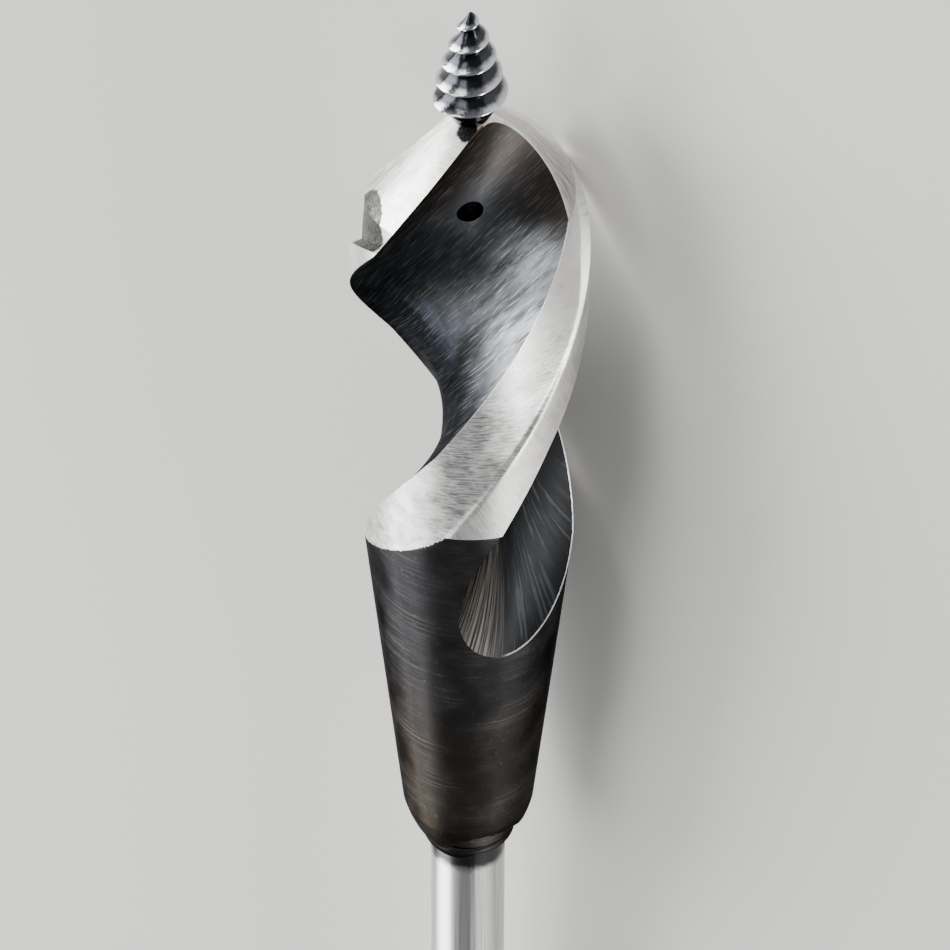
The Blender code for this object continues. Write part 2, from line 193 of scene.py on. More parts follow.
# One closed row of points round the fluted head: margin, relief and flute, twice.
def headRow(walls, station):
    fluteRadius, fluteTurn = fluteSlice(walls, station)
    if len(fluteRadius) == 2:
        fluteRadius = np.full(head["fluteColumns"] + 1, fluteRadius[0])
        fluteTurn = np.full(head["fluteColumns"] + 1, fluteTurn[0])
    first, last = -fluteTurn[-1], 180.0 - fluteTurn[0]
    edge = float(np.clip(marginWidth(station), first, last))
    margin = np.linspace(first, edge, head["marginColumns"] + 1)
    hasMargin = edge > first
    marginRadius = np.full(len(margin), bodyRadius(station)) if hasMargin else landRadius(margin, station)
    relief = np.linspace(edge, last, head["reliefColumns"] + 1)
    reliefRadii = landRadius(np.maximum(relief, edge + 1e-6), station)
    if hasMargin:
        worn = 1.0 - smoothStep((relief - edge) / head["stepBlend"])
        reliefRadii = reliefRadii + (bodyRadius(station) - reliefRadii) * worn
    lead = float(leadAngle(min(station, head["twistStop"])))
    half = [place(marginRadius, lead - margin, station), place(reliefRadii, lead - relief, station),
            place(fluteRadius, lead + 180.0 + fluteTurn, station)]
    half = np.concatenate(half)
    return np.concatenate((half, half * (-1, -1, 1)))


def columnZones():
    half = (["margin"] * head["marginColumns"] + ["relief"] * (head["reliefColumns"] + 1)
            + ["flute"] * (head["fluteColumns"] + 2))
    return half * 2


def headStations():
    top, step = head["blankTop"], head["rowStep"]
    marginTop = head["screwLength"] + head["marginTop"]
    rows = list(np.arange(top, fluteEnd, step)) + [marginTop, marginTop + 0.0005]
    rows += [fluteEnd, fluteEnd + head["taperStep"]]
    rows += list(np.arange(fluteEnd + 0.4, head["runoutFine"], 0.25))
    rows += list(np.arange(head["runoutFine"], head["runoutEnd"], 0.05))  # close, where the flutes end
    rows += list(np.linspace(head["twistStop"], taperEnd, 8))
    return sorted(rows)


def newMesh(name, verts, faces):
    mesh = bpy.data.meshes.new(name)
    mesh.from_pydata([tuple(v) for v in verts], [], faces)
    mesh.update()
    item = bpy.data.objects.new(name, mesh)
    bpy.context.scene.collection.objects.link(item)
    return item


def tidyMesh(item, distance=2e-4):
    data = bmesh.new()
    data.from_mesh(item.data)
    bmesh.ops.remove_doubles(data, verts=data.verts, dist=distance)
    bmesh.ops.dissolve_degenerate(data, edges=data.edges, dist=distance)
    wide = [face for face in data.faces if len(face.verts) > 4]
    bmesh.ops.triangulate(data, faces=wide)
    bmesh.ops.recalc_face_normals(data, faces=data.faces)
    data.to_mesh(item.data)
    data.free()


def cutAway(item, tool):
    change = item.modifiers.new("cut", 'BOOLEAN')
    change.operation = 'DIFFERENCE'
    change.solver = 'EXACT'
    change.material_mode = 'TRANSFER'
    change.object = tool
    graph = bpy.context.evaluated_depsgraph_get()
    mesh = bpy.data.meshes.new_from_object(item.evaluated_get(graph))
    item.modifiers.clear()
    item.data = mesh
    bpy.data.objects.remove(tool)


# Body of revolution from (station, radius) pairs, with flat ends.
def turnedBody(name, profile, sides, material):
    angles = np.arange(sides) * 360.0 / sides
    rows = [place(radius, angles, station) for station, radius in profile]
    faces = []
    for row in range(len(rows) - 1):
        for side in range(sides):
            other = (side + 1) % sides
            faces.append((row * sides + side, row * sides + other,
                          (row + 1) * sides + other, (row + 1) * sides + side))
    faces.append(tuple(reversed(range(sides))))
    faces.append(tuple(range((len(rows) - 1) * sides, len(rows) * sides)))
    item = newMesh(name, np.concatenate(rows), faces)
    item.data.materials.append(material)
    return item


# Everything tipward of the two ground faces.
def pointCutter(material):
    radii = [head["lipRadius"] * 0.5] + list(np.arange(head["lipRadius"], head["radius"] * 1.25, 0.4))
    angles = []
    for half in range(2):
        start = head["splitAngle"] - 180.0 * half
        angles += [start - 0.001] + list(start - np.arange(2.0, 179.0, 2.0)) + [start - 179.999]
    angles = np.array(angles)
    rows = []
    for radius in radii:
        out = radius - head["lipRadius"]
        lip = head["screwLength"] + head["lipDepth"] + head["lipSlope"] * out + head["lipCurl"] * out ** 2
        ahead = (head["splitAngle"] - angles) % 180.0
        behind = ahead - (head["splitAngle"] - head["lipAngle"] + head["lipSweep"] * out)
        rows.append(place(radius, angles, lip + head["clearance"] * radius ** 2 * behind))
    rows.append(place(radii[-1], angles, np.full(len(angles), -2.0)))
    count = len(angles)
    faces = []
    for row in range(len(rows) - 1):
        for index in range(count):
            other = (index + 1) % count
            faces.append((row * count + index, row * count + other,
                          (row + 1) * count + other, (row + 1) * count + index))
    faces += [tuple(range(count)), tuple(reversed(range((len(rows) - 1) * count, len(rows) * count)))]
    item = newMesh("pointCutter", np.concatenate(rows), faces)
    data = bmesh.new()
    data.from_mesh(item.data)
    bmesh.ops.triangulate(data, faces=data.faces)
    bmesh.ops.recalc_face_normals(data, faces=data.faces)
    data.to_mesh(item.data)
    data.free()
    item.data.materials.append(material)
    return item


def crossDrill(radius, station, reach, material, sides=48):
    turns = np.arange(sides) * 2 * math.pi / sides
    ends = [np.stack((radius * np.cos(turns), np.full(sides, side), -station + radius * np.sin(turns)), -1)
            for side in (-reach, reach)]
    faces = [(k, (k + 1) % sides, sides + (k + 1) % sides, sides + k) for k in range(sides)]
    faces += [tuple(reversed(range(sides))), tuple(range(sides, 2 * sides))]
    item = newMesh("crossDrill", np.concatenate(ends), faces)
    tidyMesh(item)
    item.data.materials.append(material)
    return item


# Colours are sRGB hex codes, turned to linear here.
def toLinear(code):
    parts = [int(code[k:k + 2], 16) / 255.0 for k in (0, 2, 4)]
    return tuple(p / 12.92 if p <= 0.04045 else ((p + 0.055) / 1.055) ** 2.4 for p in parts) + (1.0,)


# Adds a node, sets it up, links or fills its inputs and hands back the output asked for.
def addNode(tree, kind, inputs=(), output=0, **settings):
    node = tree.nodes.new(kind)
    for key, value in settings.items():
        setattr(node, key, value)
    for key, value in (inputs.items() if isinstance(inputs, dict) else enumerate(inputs)):
        if isinstance(value, bpy.types.NodeSocket):
            tree.links.new(value, node.inputs[key])
        else:
            node.inputs[key].default_value = value
    return node.outputs if output is None else node.outputs[output]


# Noise drawn out along one direction of a surface, as a grinding wheel or a lathe leaves it.
def grain(tree, vector, angle, lengthMm, widthMm, detail=3.0):
    turned = addNode(tree, "ShaderNodeVectorRotate", {
        "Vector": vector, "Angle": math.radians(angle)}, rotation_type='Z_AXIS')
    scaled = addNode(tree, "ShaderNodeVectorMath", (
        turned, (1 / lengthMm, 1 / widthMm, 0.02)), operation='MULTIPLY')
    return addNode(tree, "ShaderNodeTexNoise", {
        "Vector": scaled, "Scale": 1.0, "Detail": detail, "Roughness": 0.6})


# The same, as straight strokes that slant up to the tip, seen square to the flute's floor.
def grainTowards(tree, vector, direction, lengthMm, widthMm, detail=3.0):
    turn, tilt = math.radians(direction["slant"]), math.radians(direction["lean"])
    up = Vector((0.0, math.sin(tilt), math.cos(tilt)))
    across = Vector((1.0, 0.0, 0.0))
    axes = [(across * math.cos(turn) + up * math.sin(turn)) / lengthMm,
            (up * math.cos(turn) - across * math.sin(turn)) / widthMm]
    shares = [addNode(tree, "ShaderNodeVectorMath", (vector, tuple(axis)), "Value", operation='DOT_PRODUCT')
              for axis in axes]
    shares[1] = addNode(tree, "ShaderNodeMath", (
        spots(tree, vector, direction["swayLength"], detail=0.0), direction["sway"] / widthMm, shares[1]
    ), operation='MULTIPLY_ADD')
    where = addNode(tree, "ShaderNodeCombineXYZ", dict(enumerate(shares)))
    return addNode(tree, "ShaderNodeTexNoise", {
        "Vector": where, "Scale": 1.0, "Detail": detail, "Roughness": 0.6})


# Soft blotches of a given size in millimetres.
def spots(tree, vector, sizeMm, detail=4.0):
    return addNode(tree, "ShaderNodeTexNoise", {
        "Vector": vector, "Scale": 1.0 / sizeMm, "Detail": detail, "Roughness": 0.55})


def newMaterial(name):
    material = bpy.data.materials.new(name)
    material.use_nodes = True
    return material, material.node_tree, material.node_tree.nodes["Principled BSDF"]


def connect(tree, shader, colour, metallic, rough, height, depthMm):
    tree.links.new(colour, shader.inputs["Base Color"])
    tree.links.new(rough, shader.inputs["Roughness"])
    shader.inputs["Metallic"].default_value = metallic
    bump = addNode(tree, "ShaderNodeBump", {
        "Height": height, "Strength": 1.0, "Distance": depthMm * 0.001})
    tree.links.new(bump, shader.inputs["Normal"])


# The head's steels. Grinding marks and scratches are drawn a little coarser than real, to show.

# Bare ground steel: the streaks left by the wheel, in a satin sheen.
def brightGround(name, look):
    material, tree, shader = newMaterial(name)
    where = addNode(tree, "ShaderNodeAttribute", output="Vector", attribute_name=look["frame"])
    wide = grain(tree, where, look["angle"], look["length"], look["width"])
    fine = grain(tree, where, look["angle"] + 3.0, look["length"] * 0.6, look["width"] * 0.3, detail=2.0)
    upright = addNode(tree, "ShaderNodeAttribute", output="Vector", attribute_name="upright")
    cloud = spots(tree, upright, look["cloud"])
    mark = addNode(tree, "ShaderNodeMath", (
        wide, 0.6, addNode(tree, "ShaderNodeMath", (fine, 0.4), operation='MULTIPLY')
    ), operation='MULTIPLY_ADD')
    shade = addNode(tree, "ShaderNodeMapRange", (
        addNode(tree, "ShaderNodeMath", (
            cloud, 0.35, addNode(tree, "ShaderNodeMath", (mark, 0.65), operation='MULTIPLY')
        ), operation='MULTIPLY_ADD'),
        0.36, 0.62), interpolation_type='SMOOTHSTEP')
    # Where the look asks, the colour is painted lighter towards the point, between the two stations given.
    if "lighterTowardsPoint" in look:
        shade = addNode(tree, "ShaderNodeMath", (
            shade,
            addNode(tree, "ShaderNodeMapRange", (
                addNode(tree, "ShaderNodeSeparateXYZ", (where,), 1), *look["lighterTowardsPoint"], 0.0, 0.6
            ), interpolation_type='SMOOTHSTEP')), operation='ADD', use_clamp=True)
    colour = addNode(tree, "ShaderNodeMix", {
        0: shade, 6: toLinear(look["dark"]), 7: toLinear(look["light"])}, 2, data_type='RGBA')
    rough = addNode(tree, "ShaderNodeMapRange", (
        mark, 0.3, 0.7, look["rough"][0], look["rough"][1]), interpolation_type='SMOOTHSTEP')
    connect(tree, shader, colour, 1.0, rough, mark, look["depth"])
    return material


groundLooks = {
    "point": {"frame": "upright", "angle": 35.0, "length": 1.6, "width": 0.10, "cloud": 1.0,
              "dark": "C4C3BF", "light": "FBFAF7", "rough": (0.36, 0.54), "depth": 0.010},
    "relief": {"frame": "land", "angle": -3.0, "length": 1.3, "width": 0.16, "cloud": 1.5,
               "dark": "8F8F8E", "light": "EFEEEB", "rough": (0.34, 0.52), "depth": 0.03,
               "lighterTowardsPoint": (36.0, 26.0)},
    "margin": {"frame": "land", "angle": 40.0, "length": 6.0, "width": 0.10, "cloud": 2.0,
               "dark": "CFCDC9", "light": "F4F2EE", "rough": (0.30, 0.44), "depth": 0.006},
}
fluteLook = {
    # strokes drawn by the chips: their direction, and their length and width in millimetres
    "strokes": {"slant": 44.0, "lean": 40.0, "sway": 0.5, "swayLength": 8.0},
    "scratch": (2.2, 0.12), "smear": (4.0, 0.8), "pit": (1.2, 0.14),
    # where each field begins and is full, in millimetres, or degrees for a turn
    "runoutAt": (43.0, 48.0), "footTurn": (62.0, 30.0), "lipBrown": (2.0, 8.5),
    "heelBrown": ((9.5, 11.5), (21.0, 18.0)), "lipLineAt": (0.3, 0.1),
    "rubbedAndSheenAcross": (7.0, 12.2), "rubbedAndSheenTop": (18.8, 22.5), "rubbedAndSheenFoot": (38.0, 22.0),
    "burrWidth": (0.03, 0.0), "burrTurn": (55.0, 75.0),
    # The satin colour is a painted highlight laid over the rubbed patch.
    "black": "343536", "blue": "3A3C3F", "brown": "393430", "foot": "6A6661", "runout": "1A1B1C",
    "silver": "C6C8CB", "satinSheen": "93969A", "lipLine": "7A5F45", "edge": "4A4A4C",
    "rough": (0.36, 0.50), "metallic": 1.0, "depth": 0.007,
}
taperLook = {"black": "3B3B3C", "heated": "403D3A", "worn": "757473", "edge": "5A5A5A",
             "rings": (0.1, 0.1, 6.0), "heatedAt": (-60.0, -80.0),
             "rough": (0.34, 0.5), "metallic": 1.0, "depth": 0.006}


# Blackened flute: brown near the lip and blue-black below, with scratches drawn by the chips beside
# the lip, a rubbed, scratched patch on the heel's wall with a painted silvery highlight over it,
# painted shade darkening the run-out, and streaks along the run-out.
def oxideFlute(look):
    material, tree, shader = newMaterial("blackOxideFlute")
    where = addNode(tree, "ShaderNodeAttribute", output="Vector", attribute_name="flute")
    chip = addNode(tree, "ShaderNodeAttribute", output="Vector", attribute_name="chip")
    rimAt = addNode(tree, "ShaderNodeAttribute", output="Vector", attribute_name="rim")
    rim = addNode(tree, "ShaderNodeSeparateXYZ", (rimAt,))
    turn = addNode(tree, "ShaderNodeSeparateXYZ", (rimAt,), 1)
    across = addNode(tree, "ShaderNodeSeparateXYZ", (where,))
    along = addNode(tree, "ShaderNodeSeparateXYZ", (where,), 1)
    fine = grainTowards(tree, chip, look["strokes"], *look["scratch"], detail=4.0)
    soft = grainTowards(tree, chip, look["strokes"], *look["smear"])
    runout = addNode(tree, "ShaderNodeMapRange", (
        along, *look["runoutAt"]), interpolation_type='SMOOTHSTEP')
    streakAt = addNode(tree, "ShaderNodeCombineXYZ", (
        addNode(tree, "ShaderNodeMath", (turn, 0.7), operation='MULTIPLY'),
        addNode(tree, "ShaderNodeMath", (along, 0.16), operation='MULTIPLY')))
    streak = addNode(tree, "ShaderNodeTexNoise", {
        "Vector": streakAt, "Scale": 1.0, "Detail": 5.0, "Roughness": 0.6})
    scratch = addNode(tree, "ShaderNodeMix", {0: runout, 2: fine, 3: streak})
    cloud = spots(tree, chip, 3.0)
    nearLip = addNode(tree, "ShaderNodeMapRange", (
        addNode(tree, "ShaderNodeSeparateXYZ", (where,), 2), *look["lipBrown"], 1.0, 0.0
    ), interpolation_type='SMOOTHSTEP')
    heelTop = addNode(tree, "ShaderNodeMath", (
        addNode(tree, "ShaderNodeMapRange", (
            across, *look["heelBrown"][0]), interpolation_type='SMOOTHSTEP'),
        addNode(tree, "ShaderNodeMapRange", (
            along, *look["heelBrown"][1]), interpolation_type='SMOOTHSTEP')), operation='MULTIPLY')
    foot = addNode(tree, "ShaderNodeMath", (
        runout,
        addNode(tree, "ShaderNodeMapRange", (turn, *look["footTurn"]), interpolation_type='SMOOTHSTEP')
    ), operation='MULTIPLY')
    warm = addNode(tree, "ShaderNodeMath", (
        addNode(tree, "ShaderNodeMath", (nearLip, heelTop), operation='MAXIMUM'),
        addNode(tree, "ShaderNodeMapRange", (
            cloud, 0.25, 0.6, 0.45, 0.95), interpolation_type='SMOOTHSTEP')), operation='MULTIPLY')
    base = addNode(tree, "ShaderNodeMix", {
        0: addNode(tree, "ShaderNodeMapRange", (cloud, 0.4, 0.62), interpolation_type='SMOOTHSTEP'),
        6: toLinear(look["black"]), 7: toLinear(look["blue"])}, 2, data_type='RGBA')
    base = addNode(tree, "ShaderNodeMix", {
        0: warm, 6: base, 7: toLinear(look["brown"])}, 2, data_type='RGBA')
    # Painted shade: the run-out is painted darker than the rest of the flute.
    base = addNode(tree, "ShaderNodeMix", {
        0: addNode(tree, "ShaderNodeMath", (runout, 0.8), operation='MULTIPLY'), 6: base,
        7: toLinear(look["runout"])}, 2, data_type='RGBA')
    base = addNode(tree, "ShaderNodeMix", {
        0: addNode(tree, "ShaderNodeMath", (
            foot,
            addNode(tree, "ShaderNodeMapRange", (streak, 0.35, 0.62), interpolation_type='SMOOTHSTEP')
        ), operation='MULTIPLY'),
        6: base, 7: toLinear(look["foot"])}, 2, data_type='RGBA')
    rubbedAndSheen = addNode(tree, "ShaderNodeMath", (
        addNode(tree, "ShaderNodeMapRange", (
            across, *look["rubbedAndSheenAcross"]), interpolation_type='SMOOTHSTEP'),
        addNode(tree, "ShaderNodeMapRange", (along, *look["rubbedAndSheenTop"]), interpolation_type='SMOOTHSTEP')
    ), operation='MULTIPLY')
    rubbedAndSheen = addNode(tree, "ShaderNodeMath", (
        rubbedAndSheen,
        addNode(tree, "ShaderNodeMapRange", (along, *look["rubbedAndSheenFoot"]), interpolation_type='SMOOTHSTEP')
    ), operation='MULTIPLY')
    inFlute = addNode(tree, "ShaderNodeMath", (1.0, runout), operation='SUBTRACT')
    lines = addNode(tree, "ShaderNodeMath", (
        addNode(tree, "ShaderNodeMapRange", (scratch, 0.55, 0.62), interpolation_type='SMOOTHSTEP'),
        addNode(tree, "ShaderNodeMath", (
            rubbedAndSheen, 0.7, addNode(tree, "ShaderNodeMath", (inFlute, 0.02, 0.04), operation='MULTIPLY_ADD')
        ), operation='MULTIPLY_ADD')), operation='MULTIPLY')
    # Painted highlight: the rubbed patch is painted a lighter satin grey over its real scratches and pits.
    sheenPatch = addNode(tree, "ShaderNodeMath", (
        rubbedAndSheen,
        addNode(tree, "ShaderNodeMapRange", (soft, 0.30, 0.62, 0.1, 1.0), interpolation_type='SMOOTHSTEP')
    ), operation='MULTIPLY')
    pits = addNode(tree, "ShaderNodeMapRange", (
        grainTowards(tree, chip, look["strokes"], *look["pit"]), 0.36, 0.30
    ), interpolation_type='SMOOTHSTEP')
    colour = addNode(tree, "ShaderNodeMix", {
        0: sheenPatch, 6: base, 7: toLinear(look["satinSheen"])}, 2, data_type='RGBA')
    colour = addNode(tree, "ShaderNodeMix", {
        0: lines, 6: colour, 7: toLinear(look["silver"])}, 2, data_type='RGBA')
    colour = addNode(tree, "ShaderNodeMix", {
        0: addNode(tree, "ShaderNodeMath", (pits, rubbedAndSheen), operation='MULTIPLY'), 6: colour,
        7: toLinear(look["black"])}, 2, data_type='RGBA')
    colour = addNode(tree, "ShaderNodeMix", {
        0: addNode(tree, "ShaderNodeMapRange", (
            addNode(tree, "ShaderNodeSeparateXYZ", (where,), 2), *look["lipLineAt"], 0.0, 0.8
        ), interpolation_type='SMOOTHSTEP'),
        6: colour, 7: toLinear(look["lipLine"])}, 2, data_type='RGBA')
    burr = addNode(tree, "ShaderNodeMath", (spots(tree, chip, 0.3), -0.14, rim), operation='MULTIPLY_ADD')
    burr = addNode(tree, "ShaderNodeMath", (
        addNode(tree, "ShaderNodeMapRange", (burr, *look["burrWidth"]), interpolation_type='SMOOTHSTEP'),
        addNode(tree, "ShaderNodeMapRange", (turn, *look["burrTurn"]), interpolation_type='SMOOTHSTEP')
    ), operation='MULTIPLY')
    colour = addNode(tree, "ShaderNodeMix", {
        0: burr, 6: colour, 7: toLinear(look["silver"])}, 2, data_type='RGBA')
    rough = addNode(tree, "ShaderNodeMapRange", (
        scratch, 0.3, 0.7, look["rough"][0], look["rough"][1]), interpolation_type='SMOOTHSTEP')
    shader.inputs["Specular Tint"].default_value = toLinear(look["edge"])
    connect(tree, shader, colour, look["metallic"], rough, scratch, look["depth"])
    return material


# Blackened lathe-turned steel, dull, with faint rings and a few rubbed spots.
def oxideTaper(look, name="blackOxideTaper"):
    material, tree, shader = newMaterial(name)
    where = addNode(tree, "ShaderNodeAttribute", output="Vector", attribute_name="upright")
    rings = addNode(tree, "ShaderNodeVectorMath", (where, look["rings"]), operation='MULTIPLY')
    ring = addNode(tree, "ShaderNodeTexNoise", {
        "Vector": rings, "Scale": 1.0, "Detail": 4.0, "Roughness": 0.65})
    cloud = spots(tree, where, 4.0)
    speck = spots(tree, where, 0.35, detail=6.0)
    worn = addNode(tree, "ShaderNodeMath", (
        addNode(tree, "ShaderNodeMapRange", (ring, 0.46, 0.75), interpolation_type='SMOOTHSTEP'),
        addNode(tree, "ShaderNodeMapRange", (cloud, 0.35, 0.7), interpolation_type='SMOOTHSTEP')
    ), operation='MULTIPLY')
    worn = addNode(tree, "ShaderNodeMath", (
        addNode(tree, "ShaderNodeMapRange", (speck, 0.62, 0.75), interpolation_type='SMOOTHSTEP'), 0.35,
        addNode(tree, "ShaderNodeMath", (worn, 0.45), operation='MULTIPLY')
    ), operation='MULTIPLY_ADD', use_clamp=True)
    heated = addNode(tree, "ShaderNodeMath", (
        addNode(tree, "ShaderNodeMapRange", (
            addNode(tree, "ShaderNodeSeparateXYZ", (where,), 2), *look["heatedAt"]
        ), interpolation_type='SMOOTHSTEP'),
        0.8), operation='MULTIPLY')
    colour = addNode(tree, "ShaderNodeMix", {
        0: heated, 6: toLinear(look["black"]), 7: toLinear(look["heated"])}, 2, data_type='RGBA')
    colour = addNode(tree, "ShaderNodeMix", {
        0: worn, 6: colour, 7: toLinear(look["worn"])}, 2, data_type='RGBA')
    rough = addNode(tree, "ShaderNodeMapRange", (
        cloud, 0.3, 0.7, look["rough"][0], look["rough"][1]), interpolation_type='SMOOTHSTEP')
    shader.inputs["Specular Tint"].default_value = toLinear(look["edge"])
    connect(tree, shader, colour, look["metallic"], rough, ring, look["depth"])
    return material


headMaterials = {
    "flute": oxideFlute(fluteLook),
    "relief": brightGround("coarseGroundSteel", groundLooks["relief"]),
    "margin": brightGround("fineGroundSteel", groundLooks["margin"]),
    "taper": oxideTaper(taperLook),
    "point": brightGround("groundPointSteel", groundLooks["point"]),
    # The bore is painted a darker black than the taper: painted shade inside the wire hole and the socket.
    "bore": oxideTaper(dict(taperLook, black="161617", worn="505051"), "boreOxidePaintedShade"),
}


# The ground band runs out on the taper where the wheel leaves it: bare steel, then black.
def fadeToOxide(material, look):
    tree = material.node_tree
    socket = tree.nodes["Principled BSDF"].inputs["Base Color"]
    land = addNode(tree, "ShaderNodeAttribute", output="Vector", attribute_name="land")
    depth = addNode(tree, "ShaderNodeSeparateXYZ", (land,), 2)
    teeth = grain(tree, land, 14.0, 1.4, 0.12)
    ragged = addNode(tree, "ShaderNodeMath", (teeth, 0.09, depth), operation='MULTIPLY_ADD')
    black = addNode(tree, "ShaderNodeMapRange", (ragged, 0.055, 0.04), interpolation_type='SMOOTHSTEP')
    colour = addNode(tree, "ShaderNodeMix", {
        0: black, 6: socket.links[0].from_socket, 7: toLinear(look["black"])}, 2, data_type='RGBA')
    tree.links.new(colour, socket)


fadeToOxide(headMaterials["relief"], taperLook)


# A rough dark patch with a ragged edge: a coarsely ground facet, and a painted dark reflection at the
# screw's neck.
def darkenPatch(material, look):
    tree = material.node_tree
    socket = tree.nodes["Principled BSDF"].inputs["Base Color"]
    upright = addNode(tree, "ShaderNodeAttribute", output="Vector", attribute_name="upright")
    land = addNode(tree, "ShaderNodeAttribute", output="Vector", attribute_name="land")
    reach = addNode(tree, "ShaderNodeVectorMath", (
        upright, look["centre"]), "Value", operation='DISTANCE')
    ragged = addNode(tree, "ShaderNodeMath", (
        spots(tree, upright, 0.5), 0.5, reach), operation='MULTIPLY_ADD')
    inside = addNode(tree, "ShaderNodeMapRange", (
        ragged, look["radius"] + 0.35, look["radius"] + 0.15), interpolation_type='SMOOTHSTEP')
    mark = grain(tree, land, look["angle"], 1.0, 0.16)
    mark = addNode(tree, "ShaderNodeMath", (
        spots(tree, upright, 0.16), 0.6,
        addNode(tree, "ShaderNodeMath", (mark, 0.4), operation='MULTIPLY')), operation='MULTIPLY_ADD')
    grey = addNode(tree, "ShaderNodeMix", {
        0: addNode(tree, "ShaderNodeMapRange", (mark, 0.38, 0.66), interpolation_type='SMOOTHSTEP'),
        6: toLinear(look["dark"]), 7: toLinear(look["light"])}, 2, data_type='RGBA')
    colour = addNode(tree, "ShaderNodeMix", {
        0: inside, 6: socket.links[0].from_socket, 7: grey}, 2, data_type='RGBA')
    tree.links.new(colour, socket)


# Behind the lip the point is painted greyer and streaked, a painted shade where the ground face curves away
# from the light, up to a bright rim along the flute.
def paintHeelShade(material, look):
    tree = material.node_tree
    socket = tree.nodes["Principled BSDF"].inputs["Base Color"]
    land = addNode(tree, "ShaderNodeAttribute", output="Vector", attribute_name="land")
    back = addNode(tree, "ShaderNodeSeparateXYZ", (land,))
    paintedHeelShade = addNode(tree, "ShaderNodeMath", (
        addNode(tree, "ShaderNodeMapRange", (
            back, look["starts"], look["full"], 0.0, 0.8), interpolation_type='SMOOTHSTEP'),
        addNode(tree, "ShaderNodeMapRange", (
            back, look["edge"] + 0.15, look["edge"] - 0.15), interpolation_type='SMOOTHSTEP')
    ), operation='MULTIPLY')
    mark = grain(tree, land, 70.0, 2.5, 0.14)
    grey = addNode(tree, "ShaderNodeMix", {
        0: addNode(tree, "ShaderNodeMapRange", (mark, 0.36, 0.64), interpolation_type='SMOOTHSTEP'),
        6: toLinear(look["dark"]), 7: toLinear(look["light"])}, 2, data_type='RGBA')
    colour = addNode(tree, "ShaderNodeMix", {
        0: paintedHeelShade, 6: socket.links[0].from_socket, 7: grey}, 2, data_type='RGBA')
    tree.links.new(colour, socket)


outerFacet = {"centre": (-8.3, -2.9, -19.3), "radius": 2.9, "angle": 50.0,
              "dark": "181818", "light": "6E6E6C"}
# A painted dark reflection on the point, round the foot of the screw.
neckDarkReflection = {"centre": (-0.3, -2.1, -10.1), "radius": 1.05, "angle": 80.0,
             "dark": "161616", "light": "3C3C3C"}
# Painted shade: the point's ground faces are painted greyer towards the heel, where they curve away from
# the light.
heelShadeLook = {"starts": 3.0, "full": 6.5, "edge": 9.75, "dark": "7C7C7A", "light": "E0DFDC"}
paintHeelShade(headMaterials["point"], heelShadeLook)
darkenPatch(headMaterials["point"], outerFacet)
darkenPatch(headMaterials["relief"], outerFacet)
darkenPatch(headMaterials["point"], neckDarkReflection)


# Station at which the shoulder breaks off into the braze, all round, with its ragged course.
def stepEdge(angle):
    random = np.random.default_rng(head["stepSeed"])
    known = np.array(head["stepEdge"])
    course = np.interp(angle, known[:, 0], known[:, 1], period=360.0)
    for wave in (7, 13, 23, 41):
        course = course + head["stepRagged"] * random.uniform(0.2, 0.5) * np.sin(
            np.radians(angle) * wave + random.uniform(0, 6.28))
    return course


def buildHead():
    walls = fluteWalls()
    stations = headStations()
    rows = [headRow(walls, station) for station in stations]
    columnZone = columnZones()
    share = np.linspace(0.0, 1.0, head["shoulderRows"] + 1)[1:]
    drop = (head["taperEnd"] - head["shoulderEnd"]) * (share * head["shoulderCurl"]
                                                       + share ** 2 * (1.0 - head["shoulderCurl"]))
    last = rows[-1]
    unit = last[:, :2] / np.hypot(last[:, 0], last[:, 1])[:, None]
    tail = [(taperEnd + head["shoulder"] * s, head["taperEnd"] - d) for s, d in zip(share, drop)]
    socket = bit["shankRadius"] + head["socketClearance"]
    tail += [(headEnd, socket), (headEnd - head["socketDepth"], socket)]
    edge = stepEdge(np.degrees(np.arctan2(unit[:, 0], -unit[:, 1])))
    for station, radius in tail:
        below = smoothStep((station - edge) / head["stepHeight"])
        cut = (radius + min(0.0, head["stepRadius"] - radius) * below)[:, None]
        rows.append(np.concatenate((unit * cut, np.full((len(unit), 1), -station)), 1))
    stations = stations + [station for station, _ in tail]
    count = len(rows[0])
    radii = [(np.hypot(*low[:, :2].T) + np.hypot(*high[:, :2].T)) / 2
             for low, high in zip(rows, rows[1:])]
    faces, faceZones = [], []
    for row in range(len(rows) - 1):
        middle = (stations[row] + stations[row + 1]) / 2
        for index in range(count):
            other = (index + 1) % count
            faces.append((row * count + index, row * count + other,
                          (row + 1) * count + other, (row + 1) * count + index))
            zone = columnZone[index]
            if row >= len(rows) - 3:
                zone = "bore"
            elif zone == "margin" and middle > fluteEnd:
                zone = "taper"
            elif zone == "flute" and middle > head["runoutEnd"] + 0.1:
                zone = "taper"
            elif zone == "relief" and middle > fluteEnd:
                runOut = radii[row][index] > bodyRadius(middle) - head["reliefFade"]  # nothing ground off
                zone = "taper" if runOut or middle > fluteEnd + head["reliefEnd"] else zone
            faceZones.append(zones.index(zone))
    faces += [tuple(reversed(range(count))), tuple(range((len(rows) - 1) * count, len(rows) * count))]
    faceZones += [zones.index("point"), zones.index("bore")]
    item = newMesh("flutedHead", np.concatenate(rows), faces)
    for zone in zones:
        item.data.materials.append(headMaterials[zone])
    item.data.polygons.foreach_set("material_index", faceZones)
    tidyMesh(item)
    return item


